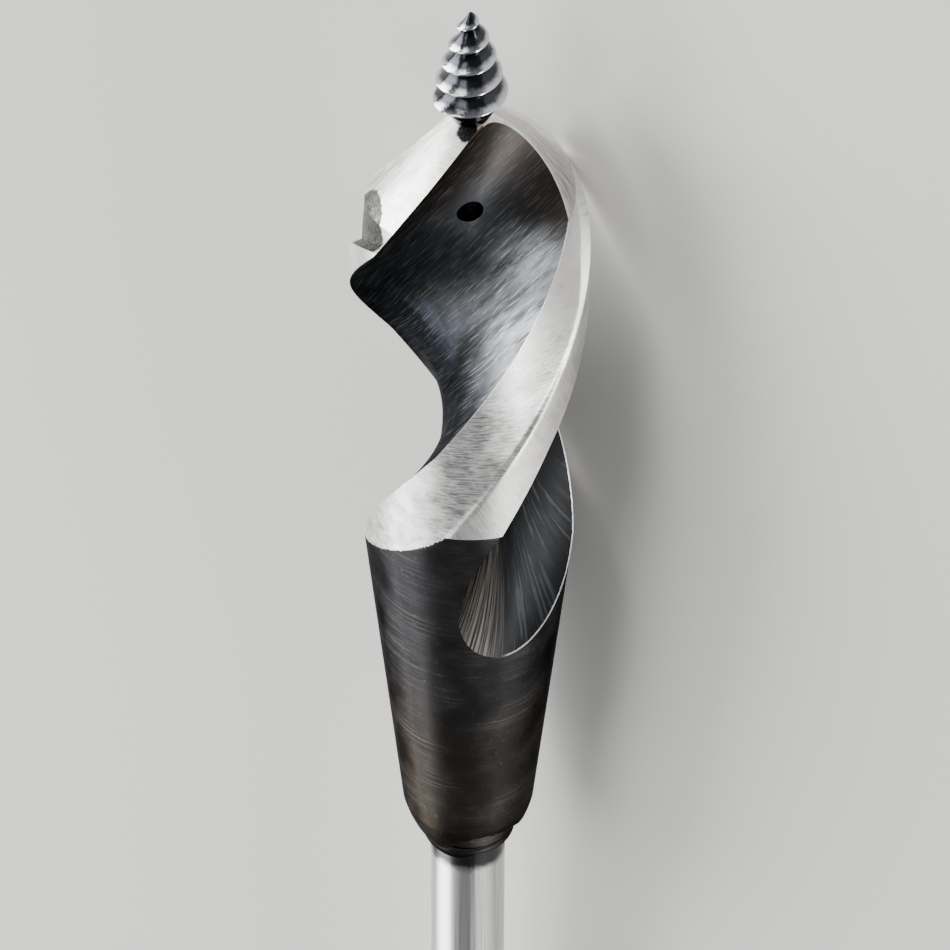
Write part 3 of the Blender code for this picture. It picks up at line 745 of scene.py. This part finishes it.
# Coordinates that the materials follow: upright, along and across the land, and down the flute.
def addFrames(item):
    mesh = item.data
    coords = np.zeros(len(mesh.vertices) * 3)
    mesh.vertices.foreach_get("co", coords)
    points = coords.reshape(-1, 3)
    station, radius = -points[:, 2], np.hypot(points[:, 0], points[:, 1])
    angle = np.degrees(np.arctan2(points[:, 0], -points[:, 1]))
    # Angles are wrapped so that a land, or a flute, stays in one run.
    behind = (leadAngle(station) - angle + 40.0) % 180.0 - 40.0
    depth = bodyRadius(station) - reliefRadius(behind, station)
    turn = (angle - leadAngle(station) + 20.0) % 180.0 - 20.0
    across = np.where(turn < head["webAngle"], head["radius"] - radius,
                      head["radius"] - head["web"] + radius)
    out = radius - head["lipRadius"]
    lip = head["screwLength"] + head["lipDepth"] + head["lipSlope"] * out + head["lipCurl"] * out ** 2
    rim = np.minimum(landRadius(-turn, station), landRadius(180.0 - turn, station)) - radius
    # Both flutes share one set of scratches, turned, and shifted so that they aren't twins.
    half = 1.0 - 2.0 * (((angle - leadAngle(station) + 20.0) % 360.0) >= 180.0)
    flat = np.zeros(len(half))
    chip = points * np.stack((half, half, flat + 1.0), -1) + np.stack((flat, flat, 31.0 * half), -1)
    frames = {"upright": points,
              "land": np.stack((np.radians(behind) * head["radius"], station, depth), -1),
              "flute": np.stack((across, station, station - lip), -1),
              "rim": np.stack((rim, turn, station), -1), "chip": chip}
    for name, values in frames.items():
        values = values.astype(np.float32).ravel()
        mesh.attributes.new(name, 'FLOAT_VECTOR', 'POINT').data.foreach_set("vector", values)


def finishPiece(item, replaced=None, sharp=30.0):
    addFrames(item)
    item.data.transform(restPose)
    item.data.shade_smooth()
    item.data.set_sharp_from_angle(angle=math.radians(sharp))
    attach(item, "root")
    if replaced:
        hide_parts(replaced)
    item.data.calc_loop_triangles()
    print(f"{item.name}: {len(item.data.loop_triangles)} triangles")


flutedHead = buildHead()
cutAway(flutedHead, pointCutter(headMaterials["point"]))
cutAway(flutedHead, crossDrill(head["wireHole"], head["wireHoleStation"], 14.0, headMaterials["bore"]))
finishPiece(flutedHead, "cutting_head")


screw = {
    "length": head["screwLength"], "pitch": 1.76, "baseRadius": 3.25, "swell": 0.61, "rootShare": 0.56,
    "fade": 0.9, "tail": 2.0, "phase": 1.05, "flank": 0.78, "flankCurl": 1.35, "tailWaist": 0.5,
    "sides": 96, "steps": 24, "burr": 0.07, "neckAt": (-8.4, -9.4),
    # The steel colour is the crests' painted highlight; the flank colour and dark are painted dark
    # reflections.
    "steel": "C4C5C8", "flankDarkReflection": "3A3C40", "dark": "151516", "rough": (0.10, 0.24), "metallic": 1.0,
}


# Rolled screw, chrome-like: painted highlights on the crests over painted dark reflections on the flanks,
# roots and neck.
def screwSteel(look):
    material, tree, shader = newMaterial("screwSteelPaintedHighlights")
    where = addNode(tree, "ShaderNodeAttribute", output="Vector", attribute_name="upright")
    height = addNode(tree, "ShaderNodeSeparateXYZ", (
        addNode(tree, "ShaderNodeAttribute", output="Vector", attribute_name="thread"),))
    cloud = spots(tree, where, 0.7)
    # Crests painted bright as a painted highlight; flanks, roots and neck painted dark as a painted dark
    # reflection.
    crest = addNode(tree, "ShaderNodeMapRange", (
        addNode(tree, "ShaderNodeMath", (cloud, 0.4, height), operation='MULTIPLY_ADD'), 0.75, 1.12
    ), interpolation_type='SMOOTHSTEP')
    flank = addNode(tree, "ShaderNodeMapRange", (
        addNode(tree, "ShaderNodeMath", (cloud, 0.3, height), operation='MULTIPLY_ADD'), 0.1, 0.6
    ), interpolation_type='SMOOTHSTEP')
    neck = addNode(tree, "ShaderNodeMapRange", (
        addNode(tree, "ShaderNodeMath", (
            cloud, 1.2, addNode(tree, "ShaderNodeSeparateXYZ", (where,), 2)), operation='MULTIPLY_ADD'),
        *look["neckAt"]), interpolation_type='SMOOTHSTEP')
    colour = addNode(tree, "ShaderNodeMix", {
        0: flank, 6: toLinear(look["dark"]), 7: toLinear(look["flankDarkReflection"])}, 2, data_type='RGBA')
    colour = addNode(tree, "ShaderNodeMix", {
        0: crest, 6: colour, 7: toLinear(look["steel"])}, 2, data_type='RGBA')
    colour = addNode(tree, "ShaderNodeMix", {
        0: neck, 6: colour, 7: toLinear(look["dark"])}, 2, data_type='RGBA')
    rough = addNode(tree, "ShaderNodeMapRange", (
        cloud, 0.3, 0.7, look["rough"][0], look["rough"][1]), interpolation_type='SMOOTHSTEP')
    connect(tree, shader, colour, look["metallic"], rough, spots(tree, where, 0.25), 0.01)
    return material


# Geometry nodes that wind the buttress thread round its swelling core.
def threadNodes(look, material):
    tree = bpy.data.node_groups.new("threadedPoint", 'GeometryNodeTree')
    tree.interface.new_socket("Geometry", in_out='OUTPUT', socket_type='NodeSocketGeometry')
    names = ("length", "pitch", "baseRadius", "swell", "rootShare", "fade", "tail", "phase", "flank",
             "flankCurl", "tailWaist", "burr")
    for name in names:
        tree.interface.new_socket(name, in_out='INPUT', socket_type='NodeSocketFloat')
    for name in ("sides", "steps"):
        tree.interface.new_socket(name, in_out='INPUT', socket_type='NodeSocketInt')
    given = addNode(tree, "NodeGroupInput", output=None)
    end = addNode(tree, "ShaderNodeMath", (given["length"], given["tail"]), operation='ADD')
    turnsIn = addNode(tree, "ShaderNodeMath", (
        addNode(tree, "ShaderNodeMath", (end, given["pitch"]), operation='DIVIDE'), 2.0), operation='ADD')
    rowCount = addNode(tree, "ShaderNodeMath", (
        addNode(tree, "ShaderNodeMath", (turnsIn, given["steps"]), operation='MULTIPLY'),
    ), operation='CEIL')
    grid = addNode(tree, "GeometryNodeMeshGrid", {
        "Size X": 1.0, "Size Y": 1.0,
        "Vertices X": addNode(tree, "ShaderNodeMath", (given["sides"], 1.0), operation='ADD'),
        "Vertices Y": addNode(tree, "ShaderNodeMath", (rowCount, 1.0), operation='ADD')})
    # The grid's columns go round the axis, and its rows wind down it, one pitch for each "steps" rows.
    spot = addNode(tree, "GeometryNodeInputPosition")
    column = addNode(tree, "ShaderNodeMath", (
        addNode(tree, "ShaderNodeSeparateXYZ", (spot,)), 0.5), operation='ADD')
    row = addNode(tree, "ShaderNodeMath", (
        addNode(tree, "ShaderNodeMath", (
            addNode(tree, "ShaderNodeMath", (
                addNode(tree, "ShaderNodeSeparateXYZ", (spot,), 1), 0.5), operation='ADD'),
            rowCount), operation='MULTIPLY'),), operation='ROUND')
    rowShare = addNode(tree, "ShaderNodeMath", (row, given["steps"]), operation='DIVIDE')
    phase = addNode(tree, "ShaderNodeMath", (
        addNode(tree, "ShaderNodeMath", (rowShare, 1e-5), operation='ADD'),), operation='FRACT')
    offset = addNode(tree, "ShaderNodeMath", (
        given["phase"],
        addNode(tree, "ShaderNodeMath", (given["flank"], given["pitch"]), operation='MULTIPLY')
    ), operation='SUBTRACT')
    station = addNode(tree, "ShaderNodeMath", (
        addNode(tree, "ShaderNodeMath", (rowShare, column), operation='SUBTRACT'), given["pitch"], offset
    ), operation='MULTIPLY_ADD')
    station = addNode(tree, "ShaderNodeMath", (
        addNode(tree, "ShaderNodeMath", (station, 0.0), operation='MAXIMUM'), end), operation='MINIMUM')
    reach = addNode(tree, "ShaderNodeMath", (given["length"], given["fade"]), operation='SUBTRACT')

    # The crests swell from the tip to the neck.
    def crestAt(where):
        return addNode(tree, "ShaderNodeMath", (
            given["baseRadius"],
            addNode(tree, "ShaderNodeMath", (
                addNode(tree, "ShaderNodeMath", (where, reach), operation='DIVIDE'), given["swell"]
            ), operation='POWER')), operation='MULTIPLY')

    # The core follows the crests, and narrows where it runs on into the point.
    tailShare = addNode(tree, "ShaderNodeMath", (
        addNode(tree, "ShaderNodeMath", (station, given["length"]), operation='SUBTRACT'), given["tail"]
    ), operation='DIVIDE', use_clamp=True)
    waist = addNode(tree, "ShaderNodeMath", (
        1.0, addNode(tree, "ShaderNodeMath", (tailShare, given["tailWaist"]), operation='MULTIPLY')
    ), operation='SUBTRACT')
    root = addNode(tree, "ShaderNodeMath", (
        crestAt(addNode(tree, "ShaderNodeMath", (station, given["length"]), operation='MINIMUM')),
        given["rootShare"]), operation='MULTIPLY')
    root = addNode(tree, "ShaderNodeMath", (root, waist), operation='MULTIPLY')
    # Each turn rises slowly on its tip side and drops off behind, and the last ones fade out.
    rising = addNode(tree, "ShaderNodeMath", (
        addNode(tree, "ShaderNodeMath", (phase, given["flank"]), operation='DIVIDE'), given["flankCurl"]
    ), operation='POWER')
    falling = addNode(tree, "ShaderNodeMath", (
        addNode(tree, "ShaderNodeMath", (1.0, phase), operation='SUBTRACT'),
        addNode(tree, "ShaderNodeMath", (1.0, given["flank"]), operation='SUBTRACT')), operation='DIVIDE')
    height = addNode(tree, "ShaderNodeMath", (rising, falling), operation='MINIMUM')
    fadeStart = addNode(tree, "ShaderNodeMath", (
        given["length"], addNode(tree, "ShaderNodeMath", (given["fade"], 1.4), operation='MULTIPLY')
    ), operation='SUBTRACT')
    fadeEnd = addNode(tree, "ShaderNodeMath", (fadeStart, given["fade"]), operation='ADD')
    fade = addNode(tree, "ShaderNodeMapRange", (
        station, fadeStart, fadeEnd, 1.0, 0.0), interpolation_type='SMOOTHSTEP')
    height = addNode(tree, "ShaderNodeMath", (height, fade), operation='MULTIPLY')
    tall = addNode(tree, "ShaderNodeMath", (crestAt(station), root), operation='SUBTRACT')
    angle = addNode(tree, "ShaderNodeMath", (column, 2 * math.pi), operation='MULTIPLY')
    radius = addNode(tree, "ShaderNodeMath", (tall, height, root), operation='MULTIPLY_ADD')
    onTip = addNode(tree, "ShaderNodeMath", (station, 0.0), operation='GREATER_THAN')
    sine = addNode(tree, "ShaderNodeMath", (angle,), operation='SINE')
    cosine = addNode(tree, "ShaderNodeMath", (angle,), operation='COSINE')
    # A rolled crest is never quite even.
    wobbleAt = addNode(tree, "ShaderNodeCombineXYZ", (sine, cosine, station))
    wobble = addNode(tree, "ShaderNodeTexNoise", {"Vector": wobbleAt, "Scale": 5.0, "Detail": 3.0})
    burr = addNode(tree, "ShaderNodeMath", (
        addNode(tree, "ShaderNodeMath", (
            addNode(tree, "ShaderNodeMath", (wobble, 0.75), operation='SUBTRACT'), given["burr"]
        ), operation='MULTIPLY'),
        height), operation='MULTIPLY')
    radius = addNode(tree, "ShaderNodeMath", (
        addNode(tree, "ShaderNodeMath", (radius, burr), operation='ADD'), onTip), operation='MULTIPLY')
    # Every point of the grid moves to its place on the thread.
    target = addNode(tree, "ShaderNodeCombineXYZ", (
        addNode(tree, "ShaderNodeMath", (radius, sine), operation='MULTIPLY'),
        addNode(tree, "ShaderNodeMath", (
            radius, addNode(tree, "ShaderNodeMath", (cosine, -1.0), operation='MULTIPLY')
        ), operation='MULTIPLY'),
        addNode(tree, "ShaderNodeMath", (station, -1.0), operation='MULTIPLY')))
    named = addNode(tree, "GeometryNodeStoreNamedAttribute", {
        "Geometry": grid, "Name": "threadHeight", "Value": height}, data_type='FLOAT', domain='POINT')
    moved = addNode(tree, "GeometryNodeSetPosition", {"Geometry": named, "Position": target})
    merged = addNode(tree, "GeometryNodeMergeByDistance", {"Geometry": moved, "Distance": 1e-4})
    real = addNode(tree, "GeometryNodeRealizeInstances", {"Geometry": merged})
    painted = addNode(tree, "GeometryNodeSetMaterial", {"Geometry": real, "Material": material})
    addNode(tree, "NodeGroupOutput", (painted,), output=None)
    return tree


def buildScrew(look):
    material = screwSteel(look)
    tree = threadNodes(look, material)
    item = newMesh("screwPoint", [], [])
    change = item.modifiers.new("thread", 'NODES')
    change.node_group = tree
    for socket in tree.interface.items_tree:
        if socket.in_out == 'INPUT':
            change[socket.identifier] = look[socket.name]
    graph = bpy.context.evaluated_depsgraph_get()
    mesh = bpy.data.meshes.new_from_object(item.evaluated_get(graph))
    item.modifiers.clear()
    item.data = mesh
    data = bmesh.new()
    data.from_mesh(mesh)
    bmesh.ops.recalc_face_normals(data, faces=data.faces)
    data.to_mesh(mesh)
    data.free()
    height = np.zeros(len(mesh.vertices), np.float32)
    mesh.attributes["threadHeight"].data.foreach_get("value", height)
    thread = np.stack((height, height, height), -1)
    mesh.attributes.new("thread", 'FLOAT_VECTOR', 'POINT').data.foreach_set("vector", thread.ravel())
    return item


screwPoint = buildScrew(screw)
finishPiece(screwPoint, sharp=50.0)


shank = {
    "radius": bit["shankRadius"], "chamfer": 0.6, "endHole": 0.8, "endHoleSetback": 12.0,
    "sides": 96, "rows": 90,
    "dipEnd": 92.7, "steel": "D2D2D0", "steelDark": "B9B9B7", "black": "333334", "rough": (0.28, 0.38),
}
braze = {"overlap": 0.8, "end": 90.9, "lean": 0.7, "ragged": 0.35, "thick": 0.85, "ripple": 0.08,
         "sides": 144, "rows": 26, "seed": 4}


# Drawn spring steel, satin, blackened where the head was dipped: a soft, uneven edge.
def shankSteel(look):
    material, tree, shader = newMaterial("brightSpringSteel")
    where = addNode(tree, "ShaderNodeAttribute", output="Vector", attribute_name="upright")
    lines = addNode(tree, "ShaderNodeVectorMath", (where, (9.0, 9.0, 0.05)), operation='MULTIPLY')
    line = addNode(tree, "ShaderNodeTexNoise", {"Vector": lines, "Scale": 1.0, "Detail": 3.0})
    cloud = spots(tree, where, 0.8)
    edge = addNode(tree, "ShaderNodeMath", (
        cloud, 1.0, addNode(tree, "ShaderNodeSeparateXYZ", (where,), 2)), operation='MULTIPLY_ADD')
    black = addNode(tree, "ShaderNodeMapRange", (
        edge, -look["dipEnd"] - 0.2, -look["dipEnd"] + 1.1), interpolation_type='SMOOTHSTEP')
    colour = addNode(tree, "ShaderNodeMix", {
        0: addNode(tree, "ShaderNodeMapRange", (line, 0.35, 0.65), interpolation_type='SMOOTHSTEP'),
        6: toLinear(look["steelDark"]), 7: toLinear(look["steel"])}, 2, data_type='RGBA')
    colour = addNode(tree, "ShaderNodeMix", {
        0: black, 6: colour, 7: toLinear(look["black"])}, 2, data_type='RGBA')
    rough = addNode(tree, "ShaderNodeMapRange", (
        line, 0.3, 0.7, look["rough"][0], look["rough"][1]), interpolation_type='SMOOTHSTEP')
    connect(tree, shader, colour, 1.0, rough, line, 0.0015)
    return material


def buildShank(look):
    steel = shankSteel(look)
    top = headEnd - head["socketDepth"] + head["socketClearance"]
    end = bit["length"]
    profile = [(station, look["radius"])
               for station in np.linspace(top, end - look["chamfer"], look["rows"])]
    profile += [(end - look["chamfer"] * 0.4, look["radius"] - look["chamfer"] * 0.45),
                (end, look["radius"] - look["chamfer"])]
    item = turnedBody("shankRod", profile, look["sides"], steel)
    tidyMesh(item)
    cutAway(item, crossDrill(look["endHole"], end - look["endHoleSetback"], 6.0, steel, sides=40))
    return item


shankRod = buildShank(shank)
finishPiece(shankRod, "flexible_shank", sharp=25.0)


# The bead of braze between the neck and the rod, with the uneven edge that it froze into.
def buildBraze(look):
    random = np.random.default_rng(look["seed"])
    angles = np.arange(look["sides"]) * 360.0 / look["sides"]
    wave = sum(random.uniform(0.3, 1.0) / k * np.sin(np.radians(angles) * k + random.uniform(0, 6.28))
               for k in range(1, 9))
    wave = wave / np.abs(wave).max()
    rows = []
    for share in np.linspace(0.0, 1.0, look["rows"]):
        reach = look["end"] - look["lean"] * np.sin(np.radians(angles)) + look["ragged"] * wave
        start = headEnd - look["overlap"]
        station = start + (reach - start) * share
        swell = look["thick"] * (1.0 - share ** 1.6) ** 0.7
        rows.append(place(shank["radius"] + 0.02 + swell * (1.0 + look["ripple"] * wave), angles, station))
    count = look["sides"]
    faces = [(row * count + k, row * count + (k + 1) % count, (row + 1) * count + (k + 1) % count,
              (row + 1) * count + k) for row in range(len(rows) - 1) for k in range(count)]
    item = newMesh("brazeBead", np.concatenate(rows), faces)
    item.data.materials.append(oxideTaper(dict(taperLook, black="363637", worn="5E5E5E"), "blackenedBraze"))
    tidyMesh(item)
    return item


brazeBead = buildBraze(braze)
finishPiece(brazeBead, sharp=60.0)


# A plain pale floor, with large soft lights round it.
studio = {"floor": "C4C3C0", "sky": "E6E8EB", "skyStrength": 0.3}


def buildStudio(look):
    floor = newMesh("studioFloor", [(-3, -3, 0), (3, -3, 0), (3, 3, 0), (-3, 3, 0)], [(0, 1, 2, 3)])
    material, tree, shader = newMaterial("paleFloor")
    shader.inputs["Base Color"].default_value = toLinear(look["floor"])
    shader.inputs["Roughness"].default_value = 0.8
    floor.data.materials.append(material)
    world = bpy.data.worlds.new("studioWorld")
    bpy.context.scene.world = world
    world.use_nodes = True
    sky = world.node_tree.nodes["Background"]
    sky.inputs[0].default_value = toLinear(look["sky"])
    sky.inputs[1].default_value = look["skyStrength"]


def addLight(name, spot, aim, width, height, power):
    lamp = bpy.data.lights.new(name, 'AREA')
    lamp.shape = 'RECTANGLE'
    lamp.size, lamp.size_y, lamp.energy = width, height, power
    item = bpy.data.objects.new(name, lamp)
    bpy.context.scene.collection.objects.link(item)
    item.location = spot
    item.rotation_euler = (Vector(aim) - Vector(spot)).to_track_quat('-Z', 'Y').to_euler()


# The camera looks down on the lying bit, from the side and at the angle of the photo.
view = {"distance": 536.9, "elevation": 40.0, "aim": -42.0, "roll": 0.19, "focal": 7000.0,
        "centre": (469.35, 411.5), "image": 950.0}  # millimetres, degrees and the photo's pixels


def buildCamera(look):
    tilt = math.radians(look["elevation"])
    eye = Vector((0.0, -look["distance"] * math.cos(tilt), look["distance"] * math.sin(tilt)))
    facing = (Vector((0.0, 0.0, look["aim"])) - eye).to_track_quat('-Z', 'Y').to_matrix().to_4x4()
    upright = Matrix.Translation(eye) @ facing @ Matrix.Rotation(math.radians(look["roll"]), 4, 'Z')
    camera = bpy.data.objects.new("camera", bpy.data.cameras.new("camera"))
    bpy.context.scene.collection.objects.link(camera)
    camera.matrix_world = restPose @ upright @ Matrix.Scale(1000.0, 4)
    camera.data.sensor_width = 36.0
    camera.data.lens = look["focal"] * 36.0 / look["image"]
    camera.data.shift_x = (look["image"] / 2 - look["centre"][0]) / look["image"]
    camera.data.shift_y = (look["centre"][1] - look["image"] / 2) / look["image"]
    camera.data.clip_end = 10.0
    bpy.context.scene.camera = camera


buildStudio(studio)
headSpot = (0.18, 0.0, 0.01)
addLight("leftSoftbox", (0.48, 1.30, 0.66), headSpot, 1.5, 1.0, 60.0)
addLight("backSoftbox", (-1.02, 0.75, 0.92), headSpot, 0.9, 0.75, 25.0)
addLight("rightSoftbox", (0.03, -1.38, 0.30), headSpot, 1.75, 0.4, 29.0)
addLight("frontSoftbox", (1.60, 0.25, 1.23), headSpot, 0.75, 0.75, 8.0)
addLight("topSoftbox", (0.45, 0.32, 1.25), headSpot, 0.5, 0.5, 4.5)
buildCamera(view)

print("installer bit: scene ready")
